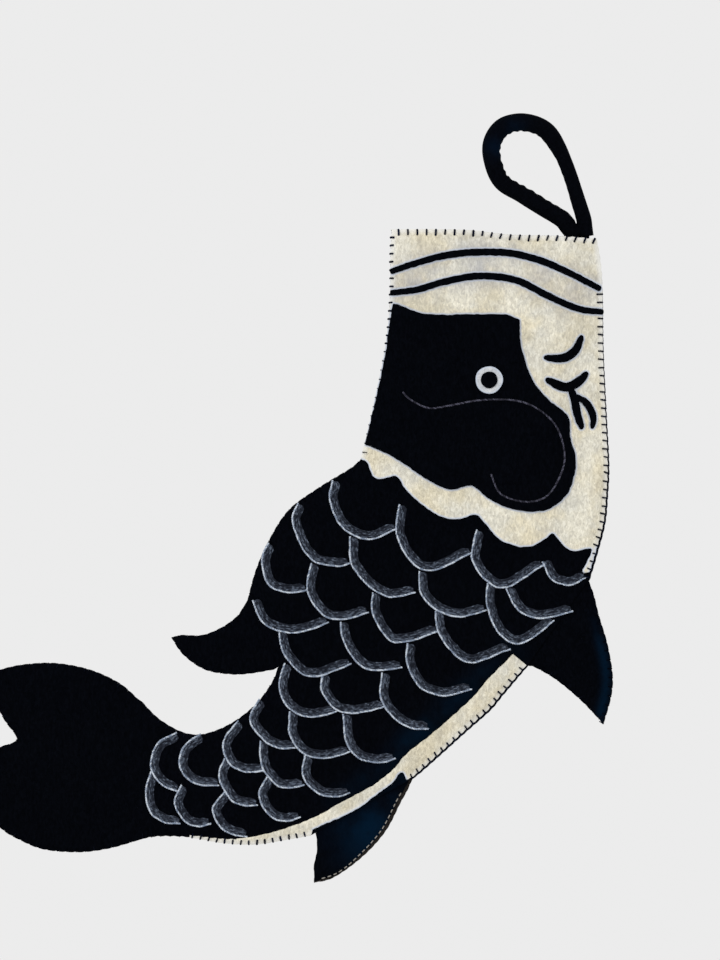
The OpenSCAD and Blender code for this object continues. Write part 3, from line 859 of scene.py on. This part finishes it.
def pelvic_painted_sheen(p):
    """Painted navy sheen on the pelvic fin: its middle."""
    return 0.85 * np.exp(-(np.hypot(p[:, 0] + 112, p[:, 1] + 524) / 27) ** 2)


def fin_layer(name, face, material, rim, seam, sway, patch, attach):
    layer(f"{name}_{face}_felt", rooted(rim, seam), zero, fin_high(np.vstack(rim)), material, attach,
          (f"{name}_fin_{face}",), "hung", face=face, mid=sway, patch=patch)


def fins():
    rim = [sewn([pectoral_seam[0], *pectoral_outer]), sewn([*pectoral_inner, pectoral_seam[1]])]
    for face, material in (("front", navy_felt), ("back", back_felt)):
        fin_layer("pectoral", face, material, rim, pectoral_seam, pectoral_sway, pectoral_painted_sheen, with_pectoral)
    for face, material, edge in (("front", navy_felt, [[-85, -488], *pelvic_trim]),
                                 ("back", brown_felt, [[-82, -486], *pelvic_outer])):
        rim = [sewn(edge, 6.5, 0.3), plain(pelvic_inner)]
        fin_layer("pelvic", face, material, rim, pelvic_seam, pelvic_sway, pelvic_painted_sheen, with_pelvic)


def sunk(high):
    """Underside of a layer that is pressed a little into the one below it."""
    return lambda p: high(p) - SUNK


def lip_shade(p):
    """Painted shade on the cream: between the lips, and a little above and below them."""
    between = (distance(p, curve(upper_lip, 3)) + distance(p, curve(lower_lip, 3))) / 2
    return 0.46 * np.exp(-((between - 8) / 10) ** 2)


def head_layers():
    rim = inset(throat, 0, 1.2)
    rim = rim[rim[:, 1] > THROAT_END]
    face_loop = outline(mouth, rim, plain(face_scallops), nape)
    cover_loop = outline(plain(gill_top), plain(gill_front), plain(gill_rear))
    on_it = [cover_loop] + [stroke(*shape) for shapes in face_strokes.values() for shape in shapes]
    halo = [plain(face_scallops), rim[rim[:, 1] < THROAT_PALE]] + [closed(loop) for loop in on_it]
    layer("face_felt", face_loop, sunk(panel_high), face_high, cream_felt, with_fore, ["face_panel"],
          beside=on_it, halo=halo, patch=lip_shade)
    layer("gill_cover_felt", cover_loop, sunk(face_high), cover_high, black_felt, with_fore,
          ["gill_cover"], rests_on="face_felt")


def belly_layer():
    """The belly strip, and its thin tip as a piece of its own."""
    low = belly_rear[belly_rear[:, 0] > STRIP_END]
    loop = outline(inset(belly_fore, 1.0, 1.0), plain(strip_outer), low, plain(strip_inner))
    halo = [plain(strip_outer)]
    layer("belly_strip_felt", loop, sunk(panel_high), strip_high, cream_felt, across_bend,
          ["belly_strip_fore", "belly_strip_rear"], halo=halo)
    end = belly_rear[(belly_rear[:, 0] < STRIP_END + 2) & (belly_rear[:, 0] > TIP_END)]
    tip_loop = outline(end, inset(end, 4.0, 1.5)[::-1])
    tip = slab("belly_strip_tip", tip_loop, sunk(panel_high), strip_high, cream_felt, halo=halo)
    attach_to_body(tip, "rear_body")
    stands_for(tip, "cream_felt")


def stroke(points, width, swell, reach):
    """Outline of a stroke that may swell towards its middle, its ends reaching past its last points."""
    path = spaced(curve(points), EDGE_STEP)
    out = left_of(path)
    share = np.sqrt(np.sin(np.linspace(0, math.pi, len(path))).clip(0))
    half = (width / 2 + swell / 2 * share)[:, None]
    arc = np.linspace(0, math.pi, 7)[1:-1, None]
    ahead = np.array([out[-1][1], -out[-1][0]])
    behind = np.array([-out[0][1], out[0][0]])
    cap_end = path[-1] + half[-1] * np.cos(arc) * out[-1] + reach * np.sin(arc) * ahead
    cap_start = path[0] - half[0] * np.cos(arc) * out[0] + reach * np.sin(arc) * behind
    return np.vstack([uneven(path + out * half, 0.16), cap_end, uneven((path - out * half)[::-1], 0.2),
                      cap_start])


def joined(name, parts):
    """One object from several, keeping their mesh attributes."""
    whole = parts[0]
    if len(parts) > 1:
        with bpy.context.temp_override(active_object=whole, selected_editable_objects=parts,
                                       selected_objects=parts, object=whole):
            bpy.ops.object.join()
    whole.name = name
    whole.data.name = name
    return whole


def mark(name, node, strokes):
    """A small felt mark of one or more strokes."""
    parts = [slab(f"{name}_{k}", stroke(*shape), sunk(face_high), lambda p: face_high(p) + MARK,
                  black_felt, grain=2.0, round_at=1.0) for k, shape in enumerate(strokes)]
    obj = joined(name, parts)
    with_fore(obj)
    stands_for(obj, "black_felt", node)


def disc(name, node, centre, low, high, material, seed):
    """Round felt piece cut by hand, so that its edge is a little uneven."""
    first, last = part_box(node)
    radius = (last.x - first.x) / 2 / MM
    rng = np.random.default_rng(seed)
    turn = np.linspace(0, -2 * math.pi, 60)[:-1]
    rough = radius * (1 + 0.012 * np.sin(3 * turn + rng.uniform(0, 6))
                      + 0.01 * np.sin(5 * turn + rng.uniform(0, 6)))
    loop = centre + rough[:, None] * np.column_stack([np.cos(turn), np.sin(turn)])
    obj = slab(name, loop, low, high, material, grain=1.8, round_at=1.1)
    with_fore(obj)
    stands_for(obj, material["slot"], node)


def face_marks():
    for node, strokes in face_strokes.items():
        mark(node.rsplit("_", 1)[0] + "_felt", node, strokes)
    low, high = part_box("eye_ring")
    centre = np.array([(low.x + high.x) / 2 / MM, (low.z + high.z) / 2 / MM])
    disc("eye_ring_felt", "eye_ring", centre, sunk(cover_high), eye_high, white_felt, 3)
    disc("eye_pupil_felt", "eye_pupil", centre, sunk(eye_high), lambda p: eye_high(p) + MARK * 0.8,
         black_felt, 4)


# ---- yarn and stitches

def scales():
    """Each scale has a pale twisted yarn with rows of dark brushed yarn along its inner side."""
    for row, group in enumerate(scale_rows, start=1):
        rng = np.random.default_rng(100 + row)
        bands, yarns = Strands(), Strands()
        for points in group:
            path = spaced(curve(points), 0.7)
            s = lengths(path)
            whole = s[-1]
            wobble = left_of(path) * (0.25 * wander(len(path), 14, rng))[:, None]
            line = path + wobble
            yarns.twist(lifted(line, panel_high, 0.45), YARN, YARN_LAY, rng)
            width = BAND_PITCH * np.minimum(1, np.sqrt(s / 2.5)) * np.minimum(1, (whole - s + 3) / 8)
            for k in range(BAND_ROWS):
                shift = BAND_START + k * width + 0.12 * wander(len(path), 9, rng)
                lane = spaced((line + left_of(line) * shift[:, None])[1:-2], 1.0)
                tone = 0.555 - 0.045 * k + 0.27 * wander(len(lane), 2, rng)
                swell = BRUSHED + 0.08 * wander(len(lane), 5, rng)
                bands.add(lifted(lane, panel_high, 0.16), swell, 5, tone)
        for batch, name, material in ((bands, "band", band_yarn), (yarns, "yarn", pale_yarn)):
            obj = batch.build(f"scale_{name}_row_{row}", material)
            across_bend(obj)
            stands_for(obj, material["slot"], f"scale_{name}_{row}")


def gill_thread():
    rng = np.random.default_rng(31)
    batch = Strands()
    path = spaced(curve(gill_curl), 0.6)
    batch.twist(lifted(path, cover_high, 0.3), 0.75, 3.0, rng)
    obj = batch.build("gill_line_thread", grey_thread)
    with_fore(obj)
    stands_for(obj, "grey_thread", "gill_line")


def blanket(batch, edge, pitch, leg, front, rear, rng, radius=THREAD, lean=(0, 0), sway=None,
            spine=(-0.4, -0.4), cord=0.42):
    """Blanket stitches over a clockwise edge. Each goes from its hole over the rim to the far side,
    where a spine along the rim joins them. front and rear give the heights of the two outer surfaces,
    lean how far the holes are off and spine how far out the spine lies, at the edge's start and end."""
    s = lengths(edge)
    out = left_of(edge)
    for where in np.arange(FIRST_STITCH * pitch, s[-1], pitch):
        e = at(edge, where)[0]
        n = np.array([np.interp(where, s, c) for c in out.T])
        n /= np.linalg.norm(n)
        along = np.array([n[1], -n[0]])
        length = leg * (1 + 0.08 * rng.normal())
        slant = np.interp(where, [0, s[-1]], lean) + 0.25 * rng.normal()
        # Points from the hole to the rim: how far in they lie, and how far above the felt
        steps = np.array([length, length - 0.5, length * 0.72, length * 0.45, 1.2, 0.5, 0.1, -0.1])
        rise = np.array([-0.8, 0.05, 0.42, 0.45, 0.32, -0.05, -0.8, -1.4])
        flat = e - n * steps[:, None] + along * (slant * steps / length)[:, None]
        shift = sway(flat) if sway else 0
        front_path = raised(flat, -(front(flat) + rise) - shift)
        rear_path = raised(flat, rear(flat) + rise - shift)
        path = curve(np.vstack([front_path, rear_path[::-1]]), 2)
        batch.add(path, radius * (1 + 0.06 * rng.normal()), tone=0.45 + 0.15 * rng.normal(),
                  across=(along[0], 0, along[1]))
    rim = spaced(edge, 1.6)
    rim = rim + left_of(rim) * np.linspace(*spine, len(rim))[:, None]
    batch.add(raised(rim, rear(rim) + 0.1 - (sway(rim) if sway else 0)), cord, 5)


def stitches():
    rng = np.random.default_rng(57)

    def piece(name, material, nodes, attach, *runs):
        batch = Strands()
        for run in runs:
            blanket(batch, rng=rng, **run)
        obj = batch.build(name, material)
        attach(obj)
        stands_for(obj, "dark_thread", *nodes)

    upper_nape = nape[nape[:, 1] > NAPE_SEWN]
    lower_nape = nape[nape[:, 1] <= NAPE_HIDDEN]
    lower_throat = throat[lengths(throat) > BARE_STITCHES * SEAM_PITCH - 0.6]
    tip = belly_rear[belly_rear[:, 0] > TIP_END]
    past_tip = belly_rear[belly_rear[:, 0] < TIP_END - 1]
    seam = dict(pitch=SEAM_PITCH, rear=rear_high)
    piece("mouth_edge_stitches", dark_thread, ["mouth_stitches"], with_fore,
          dict(edge=mouth, pitch=STITCH_PITCH, leg=4.1, front=face_high, rear=lambda p: -panel_low(p),
               lean=(0.2, -0.7), radius=0.82))
    piece("left_edge_stitches", dark_thread, ["left_seam_stitches"], with_fore,
          dict(seam, edge=upper_nape, leg=2.4, front=face_high, radius=0.75))
    piece("right_edge_stitches", dark_thread, ["right_seam_stitches"], with_fore,
          dict(seam, edge=lower_throat, leg=4.2, front=face_high, spine=(-0.3, 0.5), cord=0.6))
    piece("belly_edge_stitches", dark_thread, ["belly_stitches_fore", "belly_stitches_rear"],
          across_bend,
          dict(seam, edge=belly_fore, leg=3.9, front=face_high, spine=(0.4, 0.4), cord=0.6),
          dict(seam, edge=tip, leg=3.2, front=strip_high, radius=0.78))

    # Stitches that show little, in black on black felt
    hidden = dict(pitch=STITCH_PITCH, leg=3.4, front=panel_high, rear=rear_high, radius=0.38)
    piece("body_edge_stitches", black_thread, [], across_bend,
          dict(hidden, edge=lower_nape, front=cover_high), dict(hidden, edge=back),
          dict(hidden, edge=loin), dict(hidden, edge=past_tip))
    piece("back_mouth_stitches", black_thread, [], with_fore,
          dict(hidden, edge=mouth, leg=4.4, front=lambda p: -rear_low(p), radius=0.45))
    piece("tail_edge_stitches", black_thread, [], with_tail,
          *[dict(hidden, edge=edge, sway=tail_sway) for edge in tail_rim])
    piece("dorsal_edge_stitches", black_thread, [], with_dorsal,
          *[dict(hidden, edge=edge, sway=dorsal_sway) for edge in dorsal_rim])
    rim = [sewn([pectoral_seam[0], *pectoral_outer]), sewn(pectoral_inner)]
    high = fin_high(np.vstack(rim))
    piece("pectoral_edge_stitches", black_thread, [], with_pectoral,
          *[dict(hidden, edge=edge, sway=pectoral_sway, leg=3.2, front=high, rear=high) for edge in rim])


def pelvic_seam_thread():
    """Running stitch along the edge of the front layer of the pelvic fin."""
    rng = np.random.default_rng(71)
    batch = Strands()
    path = spaced(curve(pelvic_trim), 0.8)
    path = path - left_of(path) * 0.9
    s = lengths(path)
    high = fin_high(path)
    for start in np.arange(2, s[-1] - 6, DASH_PITCH):
        dash = at(path, np.linspace(start, start + DASH + 0.3 * rng.normal(), 6))
        lift = np.array([-0.5, 0.3, 0.4, 0.4, 0.3, -0.5])
        batch.add(raised(dash, -(high(dash) * 0.9 + lift) - pelvic_sway(dash)), 0.42)
    obj = batch.build("pelvic_running_stitch", beige_thread)
    with_pelvic(obj)
    stands_for(obj, "pale_yarn")


# ---- hanging loop

def hanging_loop():
    """Padded felt tube, puckered along the seam on its inner side and flattened where it is sewn in."""
    rng = np.random.default_rng(83)
    first, last = loop_ends
    path = spaced(curve([first, *loop_route, last]), 1.3)
    s = lengths(path)
    whole = s[-1]
    thick = depth("hanging_loop")
    end = np.minimum(s, whole - s)
    flat = 1 - ease(end / LOOP_FLAT)
    out = left_of(path)
    turn = np.arange(LOOP_SIDES) * 2 * math.pi / LOOP_SIDES
    inner = np.maximum(0, -np.cos(turn)) ** 3
    # Distances along the tube where it is fullest, its puckers fade, it thins and it widens again
    fullest, fade, thin, wide_end = 112, 130, 150, 195
    pucker = 0.5 + 0.5 * np.cos(2 * math.pi * s / PUCKER_PITCH + wander(len(s), 12, rng))
    pucker *= (0.7 + 0.3 * wander(len(s), 8, rng)) * (1 - 0.75 * ease((s - fade) / 30))
    swell = 1.04 * (1 + 0.015 * wander(len(s), 14, rng)) * (1 - 0.2 * ease((s - thin) / 30))
    swell += 0.07 * np.exp(-((s - fullest) / 22) ** 2) + 0.06 * ease((s - wide_end) / 25)
    reach = (thick / 2 * swell)[:, None] - 0.9 * pucker[:, None] * inner[None, :]
    wide = reach * (1 + 0.02 * flat[:, None]) * np.cos(turn)
    deep = reach * (1 - 0.5 * flat[:, None]) * np.sin(turn)
    verts = np.stack([path[:, None, 0] + out[:, None, 0] * wide, deep,
                      path[:, None, 1] + out[:, None, 1] * wide], axis=2)
    ends = np.arange(LOOP_SIDES), (len(path) - 1) * LOOP_SIDES + np.arange(LOOP_SIDES)[::-1]
    faces = wall(len(path), LOOP_SIDES) + [ring.tolist() for ring in ends]
    # Painted navy sheen at the loop's bends, stronger on its inner side
    bends = np.exp(-((s - 97) / 9) ** 2) + 0.7 * np.exp(-((s - 122) / 10) ** 2)
    bend_sheen = bends[:, None] * (0.6 - 0.4 * np.cos(turn))
    obj = make_object("hanging_loop_felt", verts.reshape(-1, 3), faces, loop_felt, {"patch": bend_sheen.ravel()})
    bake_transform(obj)
    stands_for(obj, "loop_felt", "hanging_loop")


def loop_tab():
    low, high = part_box("loop_tab")
    x0, x1, z0, z1 = low.x / MM, high.x / MM, low.z / MM, high.z / MM
    corners = [[x0, z1], [x1, z1], [x1, z0], [x0, z0]]
    loop = outline(*[spaced([a, b], STEP) for a, b in zip(corners, corners[1:] + corners[:1])])
    half = 0.8 * FELT
    tab = slab("loop_tab_felt", loop, lambda p: zero(p) - half, lambda p: zero(p) + half, loop_felt)
    with_fore(tab)
    stands_for(tab, "loop_felt", "loop_tab")
    batch = Strands()
    low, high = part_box("loop_tack_stitches")
    for z in (low.z / MM + 0.6, high.z / MM - 0.6):
        x = np.linspace(low.x / MM, high.x / MM, 9)
        y = half + 0.5 - 0.8 * (np.abs(np.linspace(-1, 1, 9)) > 0.8)
        batch.add(np.column_stack([x, y, np.full(9, z)]), 0.6)
    tack = batch.build("loop_tack_thread", pale_yarn)
    with_fore(tack)
    stands_for(tack, "pale_yarn", "loop_tack_stitches")


studio()
hanging_loop()
loop_tab()
body_layers()
flap_layers("tail", "tail", tail_loop, tail_sway, with_tail)
flap_layers("dorsal", "dorsal_fin", dorsal_loop, dorsal_sway, with_dorsal)
fins()
head_layers()
belly_layer()
face_marks()
scales()
gill_thread()
stitches()
pelvic_seam_thread()
